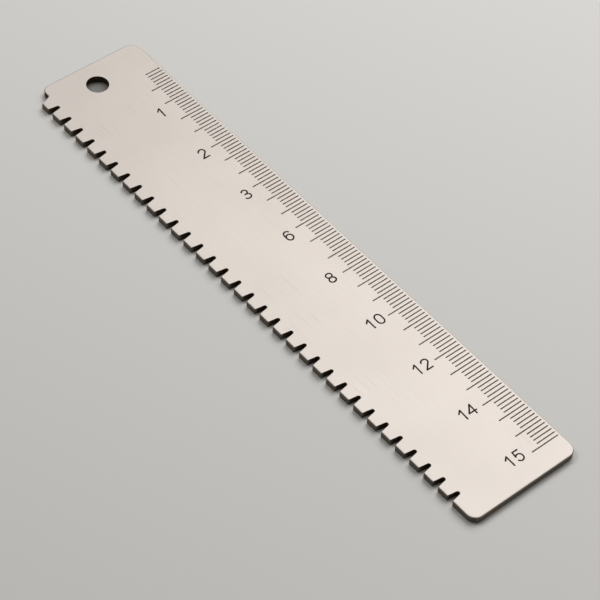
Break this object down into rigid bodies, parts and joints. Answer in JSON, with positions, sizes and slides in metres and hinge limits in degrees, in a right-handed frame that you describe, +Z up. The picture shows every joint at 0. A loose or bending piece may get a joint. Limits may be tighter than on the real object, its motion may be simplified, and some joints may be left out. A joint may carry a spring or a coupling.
{
  "type": "brass ruler",
  "caption": "Flat pale metal ruler with a graduated long edge, a row of tapered notches along the other and a hanging hole at one end.",
  "frame": {"origin": "middle of the underside, on the surface that the ruler lies on", "axes": "+X along the ruler from its hole end to the end with the high numbers, +Y from the notched edge to the graduated edge, +Z up out of the marked face"},
  "size_m": [0.168, 0.033, 0.002],
  "materials": {
    "plate": "satin"
  },
  "bodies": {
    "root": {"ruler": "plate"}
  },
  "joints": []
}
